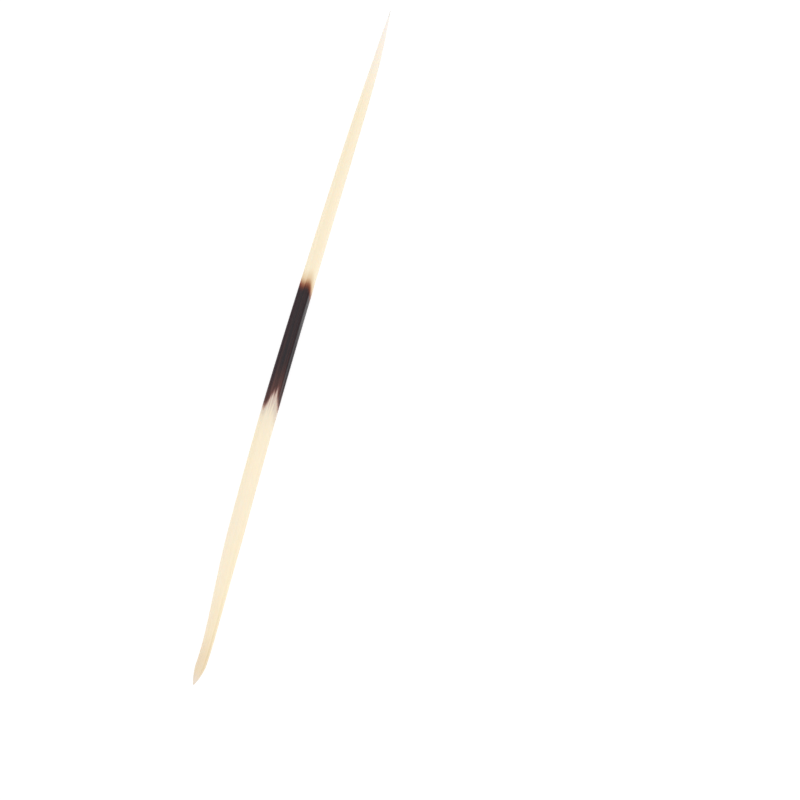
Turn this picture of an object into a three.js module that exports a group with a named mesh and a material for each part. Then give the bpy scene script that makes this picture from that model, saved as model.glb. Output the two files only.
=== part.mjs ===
// A porcupine quill, lying on its side: one closed solid, in millimetres.
//
// +X runs from the root to the sharp tip, +Y is the side that the quill bows towards, and +Z is up.
// The quill rests on z = 0, and the origin is the middle of its footprint.

import * as THREE from "three";

// Along the quill, measured from the root
const LENGTH = 250;
const CONE_END = 8; // where the root cone reaches the neck
const SWELL_START = 10; // where the neck begins to swell
const BELLY_START = 60; // where the quill reaches its greatest thickness
const BELLY_END = 95; // where the long taper begins
const LIE_START = 12; // the underside lies on the surface from here
const LIE_END = 200; // to here
const TIP_START = 205; // the sharp tip narrows from here
const POINT_LENGTH = 1; // the very end, which closes straight to the point

// Across the quill
const ROOT_DIAMETER = 0.4;
const NECK_DIAMETER = 3.8;
const BELLY_DIAMETER = 6;
const FLAT_DEPTH = 0.09; // what the narrow resting flat takes off the round underside

// How the ends narrow
const CONE_ROUNDNESS = 1.8; // 1 is a straight cone, 2 a parabola
const TAPER_SHARE = 0.455; // the thickness that the long straight taper takes away
const TAPER_EASE = 0.06; // the share of the taper over which it sets in
const TIP_SHARPNESS = 9.5; // how late the sharp tip parts from the long taper

// The bow: how far the middle of the quill stands towards +Y at each distance from the root
const BOW = [
  [0, 0.15],
  [4, -0.2],
  [9, -0.52],
  [18, -0.6],
  [50, 0.6],
  [100, 1.35],
  [150, 1.08],
  [200, 0.23],
  [230, -0.32],
  [LENGTH, -0.07],
];

// Fine lengthwise ridges
const RIDGES = 36;
const SIDES = 2 * RIDGES; // one crest and one groove each
const RIDGE_DEPTH_SHARE = 0.02; // of the radius at the same place

// Rings of faces along the quill
const ROOT_RINGS = 8; // from the root's end to LIE_START
const SHAFT_RINGS = 24; // from LIE_START to TIP_START
const TIP_RINGS = 16; // from TIP_START to the point
const CROWDING = 1.5; // how much the rings crowd together towards either end

const IVORY = 0xfaecce;

// From 0 to 1 with a level start and a level end.
function ease(share) {
  const t = THREE.MathUtils.clamp(share, 0, 1);
  return t * t * (3 - 2 * t);
}

// The bow at a distance along the quill: a cubic between neighbouring stations, whose slope at each station
// is that of the line between the stations on either side of it.
function bowAt(along) {
  const slopeAt = (i) => {
    const [before, after] = [BOW[Math.max(i - 1, 0)], BOW[Math.min(i + 1, BOW.length - 1)]];
    return (after[1] - before[1]) / (after[0] - before[0]);
  };
  const last = BOW.length - 2;
  const i = Math.min(BOW.findLastIndex(([station]) => station <= along), last);
  const [[x0, y0], [x1, y1]] = [BOW[i], BOW[i + 1]];
  const span = x1 - x0;
  const t = (along - x0) / span;
  const rise = ease(t) * (y1 - y0);
  const lead = t * (1 - t) ** 2 * span * slopeAt(i);
  const trail = t * t * (t - 1) * span * slopeAt(i + 1);
  return y0 + rise + lead + trail;
}

// The radius to the ridges' crests: a rounded cone at the root, a gentle swelling to the belly,
// and a long straight taper that falls away to a point at the tip.
function radiusAt(along) {
  const cone = 1 - (1 - Math.min(along / CONE_END, 1)) ** CONE_ROUNDNESS;
  const neck = THREE.MathUtils.lerp(ROOT_DIAMETER, NECK_DIAMETER, cone);
  const swelling = ease((along - SWELL_START) / (BELLY_START - SWELL_START));
  const t = Math.max(along - BELLY_END, 0) / (LENGTH - BELLY_END);
  const taper = 1 - (TAPER_SHARE * t * t) / (t + TAPER_EASE);
  const diameter = THREE.MathUtils.lerp(neck, BELLY_DIAMETER, swelling) * taper * (1 - t ** TIP_SHARPNESS);
  return diameter / 2;
}

// The height of the quill's middle. Along the shaft it is the radius, so that the underside is straight,
// and past each end of that stretch it carries straight on.
function heightAt(along) {
  const step = 0.01; // a small move along the quill, to take the slope over
  const held = THREE.MathUtils.clamp(along, LIE_START, LIE_END);
  const slope = (radiusAt(held + step) - radiusAt(held - step)) / (2 * step);
  return radiusAt(held) + slope * (along - held) - FLAT_DEPTH;
}

// Evenly spaced shares of a stretch, up to and including all of it.
function shares(count) {
  return Array.from({ length: count }, (_, i) => (i + 1) / count);
}

// The profile of a straight quill, as points of (radius, distance along), from the axis back to the axis.
function straightProfile() {
  const { lerp } = THREE.MathUtils;
  const tipEnd = LENGTH - POINT_LENGTH;
  const root = shares(ROOT_RINGS).map((share) => LIE_START * share ** CROWDING);
  const shaft = shares(SHAFT_RINGS).map((share) => lerp(LIE_START, TIP_START, share));
  const tip = shares(TIP_RINGS).map((share) => lerp(tipEnd, TIP_START, (1 - share) ** CROWDING));
  const rings = [0, ...root, ...shaft, ...tip].map((along) => new THREE.Vector2(radiusAt(along), along));
  return [new THREE.Vector2(0, 0), ...rings, new THREE.Vector2(0, LENGTH)];
}

// Turns a straight round quill along +Y into the bowed, ridged one lying along +X.
function lay(geometry) {
  const position = geometry.getAttribute("position");
  for (let i = 0; i < position.count; i += 1) {
    const along = position.getY(i);
    const radius = Math.hypot(position.getX(i), position.getZ(i));
    const angle = Math.atan2(position.getX(i), position.getZ(i));
    const groove = (1 - Math.cos(RIDGES * angle)) / 2;
    const ridged = radius * (1 - RIDGE_DEPTH_SHARE * groove);
    const y = bowAt(along) + ridged * Math.sin(angle);
    const z = heightAt(along) - ridged * Math.cos(angle);
    position.setXYZ(i, along, y, Math.max(z, 0));
  }
  geometry.computeBoundingBox();
  const middle = geometry.boundingBox.getCenter(new THREE.Vector3());
  geometry.translate(-middle.x, -middle.y, 0);
  geometry.computeVertexNormals();
  return geometry;
}

function makeQuill() {
  const horn = new THREE.MeshStandardMaterial({ color: IVORY, roughness: 0.38, metalness: 0 });
  const mesh = new THREE.Mesh(lay(new THREE.LatheGeometry(straightProfile(), SIDES)), horn);
  mesh.name = "quill";
  return mesh;
}

const porcupineQuill = new THREE.Group();
porcupineQuill.add(makeQuill());

export default porcupineQuill;
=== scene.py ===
# %% [markdown]
# # A porcupine quill in horn
# A porcupine's quill is one hair, grown thick and stiff. Its wall is horn, the stuff of fingernails, round
# a light pith. It has a short root, a shaft that swells a little, and a long taper to a sharp point. The
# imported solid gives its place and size, and this lesson gives it a fine surface and a finish. We could
# paint the solid itself, but its faces are too coarse for the fine ridges that run along real horn, so we
# make one new mesh in the same place and let it stand for the solid.

import bpy
import numpy as np
from mathutils import Matrix, Vector


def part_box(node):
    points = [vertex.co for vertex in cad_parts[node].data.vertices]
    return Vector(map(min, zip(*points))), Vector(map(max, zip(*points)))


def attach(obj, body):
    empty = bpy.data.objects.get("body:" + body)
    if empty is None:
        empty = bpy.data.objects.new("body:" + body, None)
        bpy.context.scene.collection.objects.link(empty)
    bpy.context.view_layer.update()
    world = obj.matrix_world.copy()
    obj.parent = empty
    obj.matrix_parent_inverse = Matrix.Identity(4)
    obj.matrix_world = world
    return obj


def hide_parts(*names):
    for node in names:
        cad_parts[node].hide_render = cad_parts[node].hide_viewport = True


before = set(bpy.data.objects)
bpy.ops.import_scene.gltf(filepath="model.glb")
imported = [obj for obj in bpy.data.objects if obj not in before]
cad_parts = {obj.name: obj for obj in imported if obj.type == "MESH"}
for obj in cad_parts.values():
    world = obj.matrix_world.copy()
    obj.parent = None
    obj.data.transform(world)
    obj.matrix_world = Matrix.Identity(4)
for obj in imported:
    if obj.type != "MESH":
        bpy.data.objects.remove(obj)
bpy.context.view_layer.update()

low_corner, high_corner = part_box("quill")
print("the frame holds", sorted(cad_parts), "in the box", low_corner[:], high_corner[:])

# %% [markdown]
# ## Driving sizes
# Every size follows from a few that a maker could take off a real quill with a ruler and calipers. A mesh
# could also be pulled about until it looks right, but named sizes can be checked against the real thing.
# The length is read from the frame. The others are written in millimetres and turned into metres once.

# %% The quill's sizes
MM = 0.001
LENGTH = high_corner.x - low_corner.x

CONE_END = 8 * MM  # where the root cone reaches the neck
SWELL_START = 10 * MM  # where the neck begins to swell
BELLY_START = 60 * MM  # where the quill reaches its greatest thickness
BELLY_END = 95 * MM  # where the long taper begins
LIE_START = 12 * MM  # the underside lies on the surface from here
LIE_END = 200 * MM  # to here

ROOT_DIAMETER = 0.4 * MM
NECK_DIAMETER = 3.8 * MM
BELLY_DIAMETER = 6 * MM
FLAT_DEPTH = 0.09 * MM  # what the narrow resting flat takes off the round underside
ROOT_ROUNDING = 0.25 * MM  # the length over which the very end of the root rounds off

CONE_ROUNDNESS = 1.8  # 1 is a straight cone, 2 a parabola
TAPER_SHARE = 0.455  # the share of the thickness that the taper's full slope takes away over its length
TAPER_EASE = 0.06  # the share of the taper over which it sets in
TIP_SHARPNESS = 9.5  # how late the sharp tip parts from the long taper

# How far the middle of the quill stands towards +Y at each distance from the root
BOW = np.array([
    (0, 0.15), (4, -0.2), (9, -0.52), (18, -0.6), (50, 0.6),
    (100, 1.35), (150, 1.08), (200, 0.23), (230, -0.32), (250, -0.07),
]) * MM
print(f"the quill is {LENGTH / MM:.1f} mm long and {BELLY_DIAMETER / MM:.1f} mm thick")

# %% [markdown]
# ## Thickness and bow
# The outline could be traced point by point, but a few smooth formulas say more about the thing: a rounded
# cone at the root, a gentle swelling to the belly, and a taper that falls away to a point. A real quill is
# never quite straight, so its middle line bows a little to one side.


# %% The outline as formulas
def ease(share):
    """From 0 to 1 with a level start and end: three times the share squared, less twice its cube."""
    t = np.clip(share, 0, 1)
    return t * t * (3 - 2 * t)


def radius_at(along):
    """Half the thickness. The root cone is one minus a falling power, the swelling eases from neck to belly,
    and the taper is a straight narrowing times one minus a high power, which makes the sharp tip."""
    cone = 1 - (1 - np.minimum(along / CONE_END, 1)) ** CONE_ROUNDNESS
    neck = ROOT_DIAMETER + (NECK_DIAMETER - ROOT_DIAMETER) * cone
    swelling = ease((along - SWELL_START) / (BELLY_START - SWELL_START))
    t = np.maximum(along - BELLY_END, 0) / (LENGTH - BELLY_END)
    taper = 1 - TAPER_SHARE * t * t / (t + TAPER_EASE)
    return (neck + (BELLY_DIAMETER - neck) * swelling) * taper * (1 - t**TIP_SHARPNESS) / 2


def bow_at(along):
    """A cubic between neighbouring stations. Its slope at each station is that of the line between the
    stations on either side."""
    places, offsets = BOW.T
    count = len(places)
    before, after = np.maximum(np.arange(count) - 1, 0), np.minimum(np.arange(count) + 1, count - 1)
    slopes = (offsets[after] - offsets[before]) / (places[after] - places[before])
    i = np.clip(np.searchsorted(places, along, side="right") - 1, 0, count - 2)
    span = places[i + 1] - places[i]
    t = (along - places[i]) / span
    rise = ease(t) * (offsets[i + 1] - offsets[i])
    return offsets[i] + rise + span * (t * (1 - t) ** 2 * slopes[i] + t * t * (t - 1) * slopes[i + 1])


def height_at(along):
    """The height of the middle line: the radius where the quill lies on the surface, and past either end of
    that stretch the height there plus the slope there times the distance past it."""
    step = 0.01 * MM  # a small move along the quill, to take the slope over
    held = np.clip(along, LIE_START, LIE_END)
    slope = (radius_at(held + step) - radius_at(held - step)) / (2 * step)
    return radius_at(held) + slope * (along - held) - FLAT_DEPTH


for place in (0, 8, 35, 80, 150, 205, 240):
    print(f"{place:4d} mm from the root: {2 * radius_at(place * MM) / MM:.2f} mm thick")

# %% [markdown]
# ## Fine ridges
# Run a fingernail round a quill and it clicks over fine ridges that run from root to tip. They could be a
# bump in the material, but then the outline and the mesh would be smooth, so the larger ones are real
# shape. On a real quill no two grooves are alike: each deepens and fades along its way.

# %% Grooves of uneven depth
RIDGES = 36
RIDGE_DEPTH_SHARE = 0.02  # of the radius at the same place
SHALLOWEST = 0.35  # the depth of the faintest groove, as a share of the deepest
GROOVE_WAVES = (2.3, 5.1)  # how often a groove deepens and fades along the quill
random = np.random.default_rng(seed=7)
groove_phases = random.uniform(0, 2 * np.pi, (len(GROOVE_WAVES), RIDGES))


def groove_at(along, around):
    """The share of the radius that a groove takes: a raised cosine from crest to crest, times a depth that
    rises and falls along each groove as the mean of two sines of its own."""
    which = np.floor(RIDGES * around / (2 * np.pi)).astype(int) % RIDGES
    waves = [
        np.sin(2 * np.pi * times * along / LENGTH + phases[which])
        for times, phases in zip(GROOVE_WAVES, groove_phases)
    ]
    strength = SHALLOWEST + (1 - SHALLOWEST) * (1 + np.mean(waves, axis=0)) / 2
    return RIDGE_DEPTH_SHARE * strength * (1 - np.cos(RIDGES * around)) / 2


print(f"the grooves are at most {RIDGE_DEPTH_SHARE * BELLY_DIAMETER / 2 / MM:.3f} mm deep")

# %% [markdown]
# ## The surface as a grid
# The quill is a tube of two parameters: the distance along it and the angle round it. A curve with a bevel
# would make a tube too, but it couldn't carry the grooves, so numpy works out every point at once. Each
# point also keeps its place on a straight rod of even thickness. The finish reads that, so that its streaks
# follow the fibres of the horn and draw together towards the tip, as they do in the real thing.

# %% Points of the surface
ROD_RADIUS = 3.0  # of the straight rod, in millimetres


def quill_points(along, around):
    """A point of the tube: the middle line plus the radius, less its groove, times the sine and cosine of
    the angle from the top. The root's very end rounds off as a quarter of an ellipse. Nothing goes below
    the surface that the quill lies on."""
    end = 1 - np.minimum(along / ROOT_ROUNDING, 1)
    radius = radius_at(along) * np.sqrt(1 - end * end) * (1 - groove_at(along, around))
    y = bow_at(along) + radius * np.sin(around)
    z = height_at(along) + radius * np.cos(around)
    return np.stack([np.broadcast_to(along, y.shape), y, np.maximum(z, 0)], axis=-1)


def rod_points(along, around):
    """The same point on a straight rod, in millimetres: the distance along, and the sine and cosine of the
    angle times the rod's radius."""
    across = (ROD_RADIUS * np.sin(around), ROD_RADIUS * np.cos(around))
    return np.stack(np.broadcast_arrays(along / MM, *across), axis=-1)


top_height = quill_points(np.array([BELLY_END]), np.zeros(1))[0, 2] / MM
print(f"where the belly ends, the quill's top is {top_height:.2f} mm above what it lies on")

# %% [markdown]
# ## Rings and faces
# The rings crowd together towards both ends, where the outline turns fastest. Evenly spaced rings would
# leave the ends coarse or the shaft needlessly fine. Each end closes in a fan of triangles round one point,
# so the mesh has no holes.

# %% Build the mesh
RINGS = 300
POINTS_ROUND = 8 * RIDGES
CROWDING = 0.8  # 0 spaces the rings evenly, 1 crowds them all the way at the ends


def tube_faces(rings, round_count):
    """Quads between neighbouring rings, and a fan of triangles at either end. The end points come last."""
    ring, point = np.meshgrid(np.arange(rings - 1), np.arange(round_count), indexing="ij")
    a, b = ring * round_count + point, ring * round_count + (point + 1) % round_count
    quads = np.stack([a, a + round_count, b + round_count, b], axis=-1).reshape(-1, 4)
    first = np.arange(round_count)
    following = (first + 1) % round_count
    last = (rings - 1) * round_count
    root_end, tip_end = rings * round_count, rings * round_count + 1
    root = np.stack([np.full(round_count, root_end), first, following], axis=-1)
    tip = np.stack([np.full(round_count, tip_end), last + following, last + first], axis=-1)
    return quads.tolist() + root.tolist() + tip.tolist()


def make_quill():
    """The grid of points and the two end points, centred on the frame's box. The rings lie at even steps
    less a sine of one full wave, which crowds them at both ends."""
    t = np.linspace(0, 1, RINGS + 2)
    places = LENGTH * (t - CROWDING * np.sin(2 * np.pi * t) / (2 * np.pi))
    angles = np.arange(POINTS_ROUND) * 2 * np.pi / POINTS_ROUND
    along, around = np.meshgrid(places[1:-1], angles, indexing="ij")
    ends = np.array([0.0, LENGTH])
    end_points = np.stack([ends, bow_at(ends), height_at(ends)], axis=-1)
    points = np.vstack([quill_points(along, around).reshape(-1, 3), end_points])
    middle = (points.min(0) + points.max(0)) / 2
    box_middle = (low_corner + high_corner) / 2
    points[:, :2] += np.array(box_middle[:2]) - middle[:2]
    rod = np.vstack([rod_points(along, around).reshape(-1, 3), [(end / MM, 0, 0) for end in ends]])
    mesh = bpy.data.meshes.new("porcupine_quill")
    mesh.from_pydata(points.tolist(), [], tube_faces(RINGS, POINTS_ROUND))
    mesh.attributes.new("rod", "FLOAT_VECTOR", "POINT").data.foreach_set("vector", rod.ravel())
    mesh.shade_smooth()
    quill = bpy.data.objects.new("porcupine_quill", mesh)
    bpy.context.scene.collection.objects.link(quill)
    return quill


porcupine_quill = make_quill()
mesh = porcupine_quill.data
mesh.calc_loop_triangles()
print("the mesh has", len(mesh.vertices), "points and", len(mesh.loop_triangles), "triangles")

# %% [markdown]
# ## Shader sums written as Python
# A material's numbers can be wired by hand, one Math node at a time, but a sum then takes a screenful of
# nodes. One small class lets an expression such as `1 - mask * 0.5` add its own Math nodes, so the recipe
# for the horn reads like the words that describe it.


# %% A number in a material
class Value:
    """An output of one of a recipe's nodes. Sums of values add the Math nodes that work them out."""

    def __init__(self, recipe, socket):
        self.recipe, self.socket = recipe, socket

    def maths(self, operation, first, second):
        """The result of one Math node."""
        return self.recipe.node("ShaderNodeMath", {"operation": operation}, {0: first, 1: second})

    def __add__(self, other):
        return self.maths("ADD", self, other)

    def __sub__(self, other):
        return self.maths("SUBTRACT", self, other)

    def __rsub__(self, other):
        return self.maths("SUBTRACT", other, self)

    def __mul__(self, other):
        return self.maths("MULTIPLY", self, other)

    def __truediv__(self, other):
        return self.maths("DIVIDE", self, other)

    __radd__, __rmul__ = __add__, __mul__

    def output(self, name):
        """Another output of the same node."""
        return Value(self.recipe, self.socket.node.outputs[name])

    def clipped(self):
        """The value kept between 0 and 1."""
        return self.recipe.node("ShaderNodeClamp", None, {"Value": self})

    def eased(self, start, end):
        """0 up to start and 1 from end on, with a level start and end between them."""
        ends = {"Value": self, "From Min": start, "From Max": end}
        return self.recipe.node("ShaderNodeMapRange", {"interpolation_type": "SMOOTHSTEP"}, ends)

    def size(self):
        """The value without its sign."""
        return self.maths("ABSOLUTE", self, 0)

    def near(self, place, reach):
        """1 at a place, and 0 from reach away on either side of it."""
        return 1 - (self - place).size().eased(0, reach)


print("a value can be added, subtracted, multiplied, divided, clipped and eased")

# %% [markdown]
# ## One way to add a node
# Noises, ramps and mixes each have settings and sockets of their own. Each kind could get its own function,
# but they would all make the node, change its settings and feed its sockets. So one method does that for
# every kind, and gives the output back as a value, ready for the next sum.


# %% The nodes of a material
class Recipe:
    """The nodes of one material."""

    def __init__(self, name):
        self.material = bpy.data.materials.new(name)
        self.material.use_nodes = True
        self.tree = self.material.node_tree
        self.tree.nodes.clear()

    def node(self, kind, settings=None, inputs=None, output=0):
        """Adds a node of any kind, makes its settings, links or sets its inputs, and gives one output back.
        A ramp's stops are pairs of a place from 0 to 1 and a colour."""
        made = self.tree.nodes.new(kind)
        for name, setting in (settings or {}).items():
            if name == "stops":
                elements = made.color_ramp.elements
                while len(elements) < len(setting):
                    elements.new(1)
                for element, (place, colour) in zip(elements, setting):
                    element.position, element.color = place, colour
            else:
                setattr(made, name, setting)
        for name, value in (inputs or {}).items():
            if isinstance(value, Value):
                self.tree.links.new(value.socket, made.inputs[name])
            else:
                made.inputs[name].default_value = value
        return Value(self, made.outputs[output]) if made.outputs else None


print("a recipe makes one material, and starts with no nodes")

# %% [markdown]
# ## Colours as on a screen
# A colour is easiest to name by the numbers that a screen shows it with. A shader works in light, though,
# and half the screen's number is only about a fifth of the light. We could look up the light by hand, but a
# small function turns the numbers into it every time.


# %% A colour in linear light
def screen_colour(red, green, blue):
    """A colour given as 0 to 255 on a screen, as the linear light that a shader wants. Each channel goes
    through the screen's curve: a share over 12.92 when dark, and otherwise a power of 2.4."""
    share = np.array([red, green, blue]) / 255
    linear = np.where(share <= 0.04045, share / 12.92, ((share + 0.055) / 1.055) ** 2.4)
    return (*linear.tolist(), 1.0)


print("pale ivory in linear light is", [round(value, 3) for value in screen_colour(240, 227, 201)])

# %% [markdown]
# ## Places and fibres
# Everything in the finish starts from the straight rod's coordinates. The distance along the rod places the
# band, and the side says how far across the quill we are. A noise that is long along the rod and narrow
# across it gives streaks like the fibres of horn. Streaks painted on a flat sheet and wrapped round the
# quill would blur close up and show a seam, and a noise does neither.

# %% Read the rod's coordinates
horn = Recipe("quill_horn")
rod = horn.node("ShaderNodeAttribute", {"attribute_name": "rod"}, output="Vector")
along_rod = horn.node("ShaderNodeSeparateXYZ", None, {"Vector": rod})  # millimetres from the root
side = along_rod.output("Y") / ROD_RADIUS  # 1 on the +Y side and -1 on the -Y side
far_side = 0 - side  # the other way round: 1 on the -Y side
FIBRE_DETAIL = 2  # how many finer layers the streaks hold


def fibres(width, length, seed):
    """Streaks about width millimetres wide and length millimetres long, as a noise from 0 to 1: the rod's
    coordinates over those sizes, moved by the seed."""
    scale = {"Vector": rod, "Location": (seed, seed, seed), "Scale": (1 / length, 1 / width, 1 / width)}
    place = horn.node("ShaderNodeMapping", None, scale)
    return horn.node("ShaderNodeTexNoise", None, {"Vector": place, "Scale": 1, "Detail": FIBRE_DETAIL})


fine_fibres = fibres(width=0.35, length=50, seed=3.1)
broad_fibres = fibres(width=1.3, length=90, seed=11.7)
short_fibres = fibres(width=0.5, length=12, seed=23.3)
fine_swing = fine_fibres - 0.5  # the same streaks, as a swing to either side of 0
broad_swing = broad_fibres - 0.5
print("the horn has", len(horn.tree.nodes), "nodes so far")

# %% [markdown]
# ## Where the dark band starts
# The band is pigment laid down inside the horn while the quill grew, so it has no edge that a finger could
# feel. Towards the root it ends in dark flames that follow the fibres, and the ivory reaches up between
# them in a wedge, on top and underneath. A dark line parts the wedge in two. The edge could be painted by
# hand. Here it is a distance along the rod that changes across the quill, and each fibre moves it a little,
# so it stays sharp close up and a few numbers can change it.

# %% The edge of the flames
FLAME_BASE = 102.2  # millimetres from the root to where the dark starts at the sides
WEDGE_HEIGHT = 7.8  # how much further the ivory reaches in the wedge
WEDGE_MIDDLE = -0.22  # where across the quill it reaches furthest, from -1 to 1
WEDGE_REACH = 0.9  # how wide it is towards +Y
WEDGE_FAR_REACH = 0.71  # and towards -Y
PARTING = (-0.12, 0.16)  # where across the quill the dark line lies, and its fading on either side
PARTING_DEPTH = 2  # how much lower the dark reaches along it
LATE_STRIP = (0.78, 0.2)  # a strip near the +Y rim, given in the same way
LATE_START = 0.45  # how much later the dark starts there
FLAME_RAGGEDNESS = 5  # how much the fibres move the edge, from one extreme to the other

towards = (side - WEDGE_MIDDLE).clipped() / WEDGE_REACH
away = (WEDGE_MIDDLE - side).clipped() / WEDGE_FAR_REACH
wedge = (1 - towards - away).clipped() * WEDGE_HEIGHT
parting = side.near(*PARTING)
late = side.near(*LATE_STRIP) * LATE_START
flame_edge = FLAME_BASE + wedge + late - parting * PARTING_DEPTH + fine_swing * FLAME_RAGGEDNESS
above_flames = along_rod - flame_edge
print("the edge lies between", FLAME_BASE, "and", FLAME_BASE + WEDGE_HEIGHT, "mm from the root,")
print("and the fibres move it by", FLAME_RAGGEDNESS / 2, "mm at most")

# %% [markdown]
# ## How the dark sets in
# Most of the pigment sets in over a few millimetres and the rest of it slowly. Below the flames, dark
# hairlines follow single fibres into the ivory, over a soft haze and a very faint veil. One blurred edge
# would look like a shadow, so each of these is worked out on its own and then added.

# %% The pigment towards the root, from 0 to 1
RISE = (-2, 2.4)  # where most of it sets in, in millimetres past the edge of the flames
SLOW_RISE = (-1, 14)  # where the rest sets in
SLOW_RISE_SHARE = 0.24  # how much of it does so slowly
HAIRLINE_NOISE = (0.5, 0.66)  # from no hairline to its darkest
HAIRLINE_PIGMENT = 0.13
PARTING_PIGMENT = 0.1
HAIRLINE_START = (FLAME_BASE - 4, FLAME_BASE + 2)  # where they set in, in millimetres from the root
HAZE = (-7.2, -0.8)  # where the haze sets in, in millimetres past the edge of the flames
HAZE_LEAN = 1.4  # how much later that is at the +Y rim than in the middle
HAZE_PIGMENT = 0.15
HAZE_RIMS = (0.55, 0.95)  # where across the quill it thins towards either rim
HAZE_RIM_LOSS = 0.5  # how much of it is lost there
VEIL_START = (FLAME_BASE - 9, FLAME_BASE - 3)  # where the veil sets in, in millimetres from the root
VEIL_PIGMENT = 0.02

rise = above_flames.eased(*RISE) * (1 - SLOW_RISE_SHARE) + above_flames.eased(*SLOW_RISE) * SLOW_RISE_SHARE
lines = short_fibres.eased(*HAIRLINE_NOISE) * HAIRLINE_PIGMENT + parting * PARTING_PIGMENT
hairlines = lines * along_rod.eased(*HAIRLINE_START)
inwards = 1 - side.size().eased(*HAZE_RIMS) * HAZE_RIM_LOSS
veil = along_rod.eased(*VEIL_START) * VEIL_PIGMENT
haze = (above_flames - side * HAZE_LEAN).eased(*HAZE) * inwards * HAZE_PIGMENT + veil
print("the hairlines start at", HAIRLINE_START[0], "mm and the veil at", VEIL_START[0], "mm from the root")

# %% [markdown]
# ## Where the dark band ends
# Towards the tip the band melts through chestnut and tan within a few millimetres. It ends sooner on the -Y
# side, and a little sooner at both rims and in a shallow notch. A straight ring would look printed on, so
# this edge changes across the quill too. It has no flames, so the broad fibres move it, and only a little.
# The pigment is what lies between the two edges.

# %% The edge that melts, and the whole pigment
MELT = 148.3  # millimetres from the root to where about half the pigment is left, at the furthest
FAR_SIDE = (0.25, 1)  # where across the quill it ends sooner towards -Y
FAR_DROP = 3.4  # how much sooner that is
FAR_RIM = (0.68, 0.95)  # where it ends sooner still
FAR_RIM_DROP = 1.15
NEAR_RIM = (0.5, 0.8)  # where it ends sooner towards +Y
NEAR_RIM_DROP = 0.5
NOTCH = (0.42, 0.42)  # where the notch lies, and its fading on either side
NOTCH_DROP = 1.1
MELT_RAGGEDNESS = 1.6  # how much the fibres move the edge, from one extreme to the other
FALL = (-3.4, 2.7)  # where most of the pigment fades, in millimetres past this edge
SLOW_FALL = (0, 6.4)  # where the rest fades
SLOW_FALL_SHARE = 0.2  # how much of it does so slowly

near_rim = side.eased(*NEAR_RIM)
far_drop = far_side.eased(*FAR_SIDE) * FAR_DROP + far_side.eased(*FAR_RIM) * FAR_RIM_DROP
near_drop = side.near(*NOTCH) * NOTCH_DROP + near_rim * NEAR_RIM_DROP
past_melt = along_rod - (MELT - far_drop - near_drop + broad_swing * MELT_RAGGEDNESS)
faded = past_melt.eased(*FALL) * (1 - SLOW_FALL_SHARE) + past_melt.eased(*SLOW_FALL) * SLOW_FALL_SHARE
pigment = (rise + (hairlines + haze) * (1 - rise)) * (1 - faded)
print("the band runs from", FLAME_BASE, "to", MELT, "mm from the root")

# %% [markdown]
# ## The ivory
# Clear horn over pith looks ivory, but not evenly. It is greyish tan at the root, a little duller where it
# meets the flames and palest near the tip, and the thin point itself is grey. The -Y side is yellower near
# the root. One flat colour would look like plastic, so a ramp along the quill gives the tone, and two tints
# are multiplied into it: broad streaks that are strongest near the root, and the yellower side.


# %% The ivory's tones
def ramp(stops, place):
    """The colour at a place between 0 and 1, blended between the two stops on either side of it."""
    return horn.node("ShaderNodeValToRGB", {"stops": stops}, {"Fac": place})


def tinted(base, tint, amount):
    """The base times the tint, as far as the amount says: at 0 the base alone, at 1 the two in full."""
    multiplied = {"data_type": "RGBA", "blend_type": "MULTIPLY"}
    return horn.node("ShaderNodeMix", multiplied, {"Factor": amount, "A": base, "B": tint}, "Result")


ROOT_GREY = screen_colour(225, 215, 203)
ROOT_TAN = screen_colour(229, 211, 187)
NECK_TAN = screen_colour(238, 223, 200)
MILKY_IVORY = screen_colour(240, 227, 206)
IVORY = screen_colour(240, 227, 201)
DULL_IVORY = screen_colour(237, 225, 201)
PALE_TIP = screen_colour(241, 231, 219)
WHITE_TIP = screen_colour(238, 232, 226)
GREY_TIP = screen_colour(165, 163, 160)
ivory_stops = (
    (0, ROOT_GREY), (0.02, ROOT_TAN), (0.04, ROOT_TAN), (0.08, NECK_TAN), (0.15, MILKY_IVORY),
    (0.23, MILKY_IVORY), (0.34, IVORY), (0.4, DULL_IVORY), (0.62, IVORY), (0.86, IVORY),
    (0.95, PALE_TIP), (0.98, WHITE_TIP), (0.99, WHITE_TIP), (1, GREY_TIP),
)
STREAK_TINT = screen_colour(243, 242, 231)
STREAK_NOISE = (0.35, 0.75)  # from no streak to its strongest
ROOT_STREAKS = 0.8  # how much of the tint the streaks take near the root
STREAK_LOSS = 0.5  # how much less that is further on
STREAKS_CALM = (20, 45)  # millimetres from the root, over which they lose it
YELLOW_TINT = screen_colour(255, 254, 243)
YELLOW_START = (2, 7)  # millimetres from the root, where the yellower side begins
YELLOW_END = (45, 85)  # and where it ends

streak_strength = ROOT_STREAKS - along_rod.eased(*STREAKS_CALM) * STREAK_LOSS
streaks = (1 - broad_fibres).eased(*STREAK_NOISE) * streak_strength
towards_far_side = 0.5 - side * 0.5  # from 0 on the +Y side to 1 on the -Y side
yellowing = towards_far_side * (along_rod.eased(*YELLOW_START) - along_rod.eased(*YELLOW_END))
plain_ivory = ramp(ivory_stops, along_rod / (LENGTH / MM))
ivory = tinted(tinted(plain_ivory, STREAK_TINT, streaks), YELLOW_TINT, yellowing)
print("the ivory's ramp holds", len(ivory_stops), "tones")
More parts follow.
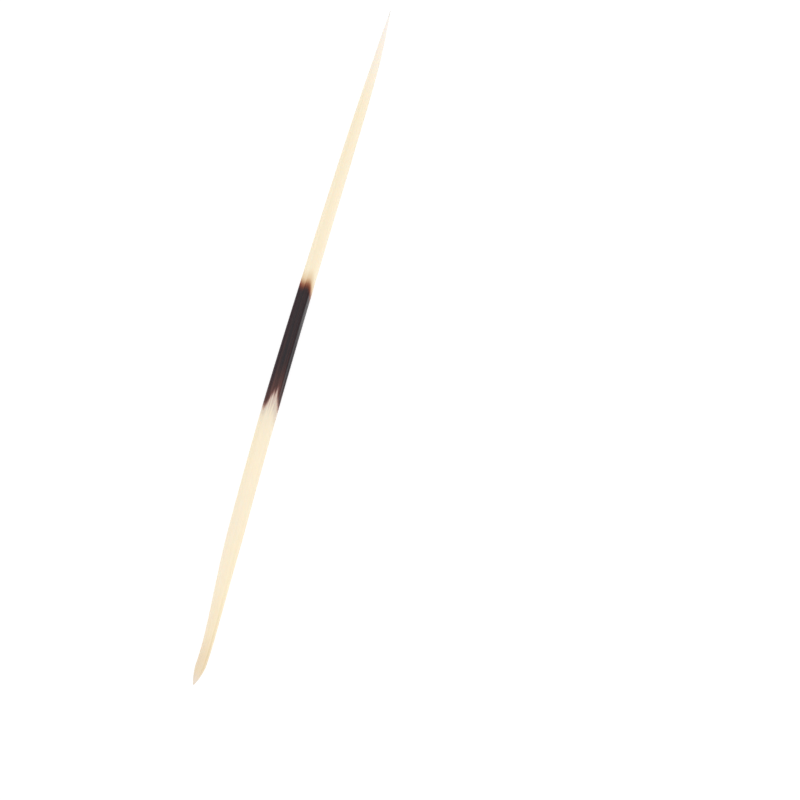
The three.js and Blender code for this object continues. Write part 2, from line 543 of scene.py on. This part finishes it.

# %% [markdown]
# ## The stain
# A little pigment turns horn tan, more turns it chestnut, and most nearly black, as tea darkens with its
# strength. So a ramp from no pigment to full pigment gives a whole edge, where a plain fade to black would
# be grey. Near the flames the brown is cooler than where the band melts, so there are two ramps. The dark
# is also uneven: it is deeper at the rims near the flames. Along one streak it is a little lighter, which is
# a painted sheen. At the +Y rim it is tinted purple, which is partly the horn's hue and partly painted shade
# that tones down the rim's shine.

# %% The band's colours
CLEAR = screen_colour(255, 255, 255)
BLACK_HORN = screen_colour(42, 40, 51)
# A purple tint for the +Y rim of the band: partly the horn's hue and partly painted shade that tones down the
# rim's shine.
PURPLE_RIM_SHADE = screen_colour(240, 190, 215)
warm_stops = (
    (0, CLEAR), (0.12, screen_colour(238, 226, 214)), (0.3, screen_colour(206, 177, 155)),
    (0.48, screen_colour(160, 112, 95)), (0.68, screen_colour(112, 64, 53)),
    (0.85, screen_colour(62, 42, 49)), (1, BLACK_HORN),
)
cool_stops = (
    (0, CLEAR), (0.12, screen_colour(232, 229, 237)), (0.2, screen_colour(222, 211, 220)),
    (0.3, screen_colour(201, 184, 192)), (0.48, screen_colour(155, 127, 135)),
    (0.68, screen_colour(112, 78, 82)), (0.85, screen_colour(76, 54, 59)), (1, BLACK_HORN),
)
WARMING = (112, 138)  # millimetres from the root, over which the stain goes from cool to warm
WARM_RIMS = (0.45, 0.8)  # where across the quill it is a little warmer near the flames too
RIM_WARMTH = 0.15
DENSITY = 0.97  # how deep full pigment goes into the ramps
DENSITY_SWING = 0.5  # how much the fibres move that, from one extreme to the other
# Painted sheen: a streak with a little less pigment, which shows as a lighter line along the band.
PAINTED_SHEEN = (0.33, 0.2)  # where across the quill the thinner streak lies, and its fading on either side
PAINTED_SHEEN_END = (109, 126)  # millimetres from the root, where it ends
PAINTED_SHEEN_LOSS = 0.08
DEEP_RIMS = (0.4, 0.7)  # where across the quill the dark is deeper near the flames
DEEP_RIM_GAIN = 0.045
# Where the painted purple shade sets in at the +Y rim, by density. It sets in sooner where the band melts.
RIM_SHADE_FROM = 0.75  # the density from which the +Y rim turns purple, near the flames
RIM_SHADE_FROM_DROP = 0.55  # how much lower that is where the band melts
RIM_SHADE_FULL = 1  # the density at which it is as purple as it gets, near the flames
RIM_SHADE_FULL_DROP = 0.15  # how much lower that is where the band melts

past_flames = along_rod.eased(*WARMING)
# The painted sheen: one streak of the band a little lighter, near the flames.
painted_sheen = side.near(*PAINTED_SHEEN) * (1 - along_rod.eased(*PAINTED_SHEEN_END)) * PAINTED_SHEEN_LOSS
deep_rims = side.size().eased(*DEEP_RIMS) * (1 - past_flames) * DEEP_RIM_GAIN
density = pigment * (DENSITY - painted_sheen + deep_rims + fine_swing * DENSITY_SWING)
warmth = past_flames + side.size().eased(*WARM_RIMS) * (1 - past_flames) * RIM_WARMTH
blended = {"data_type": "RGBA", "blend_type": "MIX"}
stains = {"Factor": warmth, "A": ramp(cool_stops, density), "B": ramp(warm_stops, density)}
plain_stain = horn.node("ShaderNodeMix", blended, stains, "Result")
rim_shade_from = RIM_SHADE_FROM - past_flames * RIM_SHADE_FROM_DROP
rim_shade_full = RIM_SHADE_FULL - past_flames * RIM_SHADE_FULL_DROP
# Painted shade: a purple tint darkens the +Y rim of the dark band.
stain = tinted(plain_stain, PURPLE_RIM_SHADE, near_rim * density.eased(rim_shade_from, rim_shade_full))
colour = tinted(ivory, stain, 1)
print("the stain's two ramps hold", len(warm_stops) + len(cool_stops), "tones")

# %% [markdown]
# ## Gloss and grain
# A quill shines softly, like a polished fingernail, and its fibres break the shine into fine lines. The
# gloss could be one number, but real horn is smoother in some places than in others, and that is what makes
# it look like horn and not like plastic. So a coat of polish lies in a stripe on the -Y side, narrow up to
# the band's middle and broad past it, and more thinly along the top. The sky mirrors in it. A bump too
# shallow to model adds the finest striations.

# %% Finish the material
ROUGHNESS = 0.34
ROUGHNESS_SWING = 0.25  # how much the fibres move it, from one extreme to the other
GRAIN_DEPTH = 0.015 * MM  # of the finest striations
WIDENING = (118, 136)  # millimetres from the root, where the broad stripe takes over from the narrow one
NARROW_STRIPE = (0.75, 0.13)  # where it lies towards -Y, and its fading on either side
NARROW_POLISH = 0.56
BROAD_STRIPE = (0.61, 0.76)  # where the broad one sets in towards -Y
FAR_EDGE = (0.86, 1)  # and where it fades again
FAR_EDGE_LOSS = 0.7
BROAD_POLISH = 0.6  # at first
BRIGHTENING = (126, 138)  # millimetres from the root, over which it gains polish
BRIGHTENING_GAIN = 0.4
DULLING = (142.5, 147)  # and over which it loses some again
DULLING_LOSS = 0.6
TOP_MIDDLE = 0.12  # where across the quill the polish along the top lies
TOP_FADE = (0.36, 0.72)  # how far from there it fades
TOP_POLISH = 0.16

past_middle = along_rod.eased(*WIDENING)
narrow_stripe = far_side.near(*NARROW_STRIPE) * (1 - past_middle) * NARROW_POLISH
broad_stripe = (far_side.eased(*BROAD_STRIPE) - far_side.eased(*FAR_EDGE) * FAR_EDGE_LOSS) * past_middle
brightened = along_rod.eased(*BRIGHTENING) * BRIGHTENING_GAIN
dulled = along_rod.eased(*DULLING) * DULLING_LOSS
broad_polish = BROAD_POLISH + brightened - dulled
top_polish = (1 - (side - TOP_MIDDLE).size().eased(*TOP_FADE)) * TOP_POLISH
striations = {"Strength": 0.6, "Distance": GRAIN_DEPTH, "Height": fibres(width=0.18, length=40, seed=5.9)}
surface = horn.node(
    "ShaderNodeBsdfPrincipled",
    None,
    {
        "Base Color": colour,
        "Roughness": ROUGHNESS + fine_swing * ROUGHNESS_SWING,
        "Normal": horn.node("ShaderNodeBump", None, striations),
        "Specular IOR Level": 0.08,  # hardly any shine of its own under the polish
        "Coat Weight": narrow_stripe + broad_stripe * broad_polish + top_polish,
        "Coat Roughness": 0.2,
        "Coat IOR": 1.7,
        "Subsurface Weight": 0.15,  # a little light goes in and comes out again close by
        "Subsurface Radius": (1, 0.7, 0.45),
        "Subsurface Scale": 0.6 * MM,
    },
)
horn.node("ShaderNodeOutputMaterial", None, {"Surface": surface})
porcupine_quill.data.materials.append(horn.material)
print("the horn's material has", len(horn.tree.nodes), "nodes")

# %% [markdown]
# ## A plain pale floor
# The quill lies on a sheet of acrylic that glows white from below, as on a light table, so its shadow
# washes out. A lit white floor would show the shadow, so the sheet is dull and its glow makes it white. It
# is only a backdrop.

# %% Make the floor
FLOOR_HALF_WIDTH = 1.5  # metres
FLOOR_DROP = 0.02 * MM  # below the quill's underside, so that the two faces don't flicker
FLOOR_GLOW = 0.85
DULL_SHEET = (0.2, 0.2, 0.2, 1)
WHITE_GLOW = (1, 1, 1, 1)


def make_floor():
    """A square of four points, just under the quill."""
    h, z = FLOOR_HALF_WIDTH, low_corner.z - FLOOR_DROP
    mesh = bpy.data.meshes.new("floor")
    mesh.from_pydata([(-h, -h, z), (h, -h, z), (h, h, z), (-h, h, z)], [], [(0, 1, 2, 3)])
    acrylic = Recipe("white_acrylic")
    finish = {
        "Base Color": DULL_SHEET,
        "Roughness": 0.9,
        "Emission Color": WHITE_GLOW,
        "Emission Strength": FLOOR_GLOW,
    }
    sheet = acrylic.node("ShaderNodeBsdfPrincipled", None, finish)
    acrylic.node("ShaderNodeOutputMaterial", None, {"Surface": sheet})
    mesh.materials.append(acrylic.material)
    floor = bpy.data.objects.new("floor", mesh)
    bpy.context.scene.collection.objects.link(floor)
    return floor


floor = make_floor()
print("the floor is", 2 * FLOOR_HALF_WIDTH, "m wide")

# %% [markdown]
# ## The camera
# The camera looks straight down on the quill through a long lens, so that its two ends are seen alike. We
# could turn and move it by eye, but it is surer to choose the two pixels where the root and the tip are to
# fall. They fix the camera's turn, its height and its place.

# %% Place the camera
IMAGE_PIXELS = 800  # each way, counted from 0 at the first one's middle
ROOT_PIXEL = np.array([193.0, 685.0])
TIP_PIXEL = np.array([390.0, 8.5])
LENS = 100.0  # millimetres
SENSOR = 36.0  # millimetres wide


def place_camera(chord_y):
    """The step from the root's pixel to the tip's, as a length and a direction, gives the metres per pixel
    and the turn. The camera stands over the image's middle, as high as its lens needs to see its width."""
    step = TIP_PIXEL - ROOT_PIXEL
    pixels = np.hypot(*step)
    scale = LENGTH / pixels
    right_share, up_share = step[0] / pixels, -step[1] / pixels
    right = Vector((right_share, -up_share, 0))
    up = Vector((up_share, right_share, 0))
    to_middle = ((IMAGE_PIXELS - 1) / 2 - ROOT_PIXEL) * scale
    middle = Vector((low_corner.x, chord_y, high_corner.z / 2)) + right * to_middle[0] - up * to_middle[1]
    place = middle + Vector((0, 0, IMAGE_PIXELS * scale * LENS / SENSOR))
    data = bpy.data.cameras.new("camera")
    data.lens, data.sensor_width = LENS, SENSOR
    camera = bpy.data.objects.new("camera", data)
    camera.matrix_world = Matrix((
        (right.x, up.x, 0, place.x),
        (right.y, up.y, 0, place.y),
        (0, 0, 1, place.z),
        (0, 0, 0, 1),
    ))
    bpy.context.scene.collection.objects.link(camera)
    bpy.context.scene.camera = camera
    return camera


root_y = mesh.vertices[-2].co.y  # the root's end point is the last but one
root_bow = float(bow_at(np.zeros(1))[0])
camera = place_camera(root_y - root_bow)
print("the camera stands at", [round(value, 3) for value in camera.location])

# %% [markdown]
# ## Soft studio light
# A small pale thing is best lit from all round, so that nothing on it falls into shade. A ring of lamps
# would do, but an even white sky is simpler and has no gaps. It also makes the pale stripe down the -Y side
# of the dark band, where the polish mirrors it. One long lamp low on that side brightens the stripe a
# little.

# %% Set the lights
SKY = 1.1
LAMP_PLACE = Vector((0.1, -1.2, 0.5))  # metres from the middle of what the quill covers
LAMP_LENGTH = 1.2  # metres
LAMP_HEIGHT = 0.25  # metres
LAMP_WATTS = 0.6
bpy.context.scene.view_settings.view_transform = "Standard"
world = bpy.data.worlds.new("sky")
world.use_nodes = True
world.node_tree.nodes["Background"].inputs["Color"].default_value = (1, 1, 1, 1)
world.node_tree.nodes["Background"].inputs["Strength"].default_value = SKY
bpy.context.scene.world = world


def add_lamp(name, place, width, height, power):
    """A flat lamp that faces the quill's middle."""
    data = bpy.data.lights.new(name, "AREA")
    data.shape, data.size, data.size_y, data.energy = "RECTANGLE", width, height, power
    lamp = bpy.data.objects.new(name, data)
    lamp.location = place
    lamp.rotation_euler = (-place).to_track_quat("-Z", "Y").to_euler()
    bpy.context.scene.collection.objects.link(lamp)
    return lamp


side_lamp = add_lamp("side_lamp", LAMP_PLACE, LAMP_LENGTH, LAMP_HEIGHT, LAMP_WATTS)
print("the lamp is", round(side_lamp.data.size, 2), "m long")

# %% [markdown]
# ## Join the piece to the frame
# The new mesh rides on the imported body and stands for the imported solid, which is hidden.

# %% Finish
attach(porcupine_quill, "root")
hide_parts("quill")
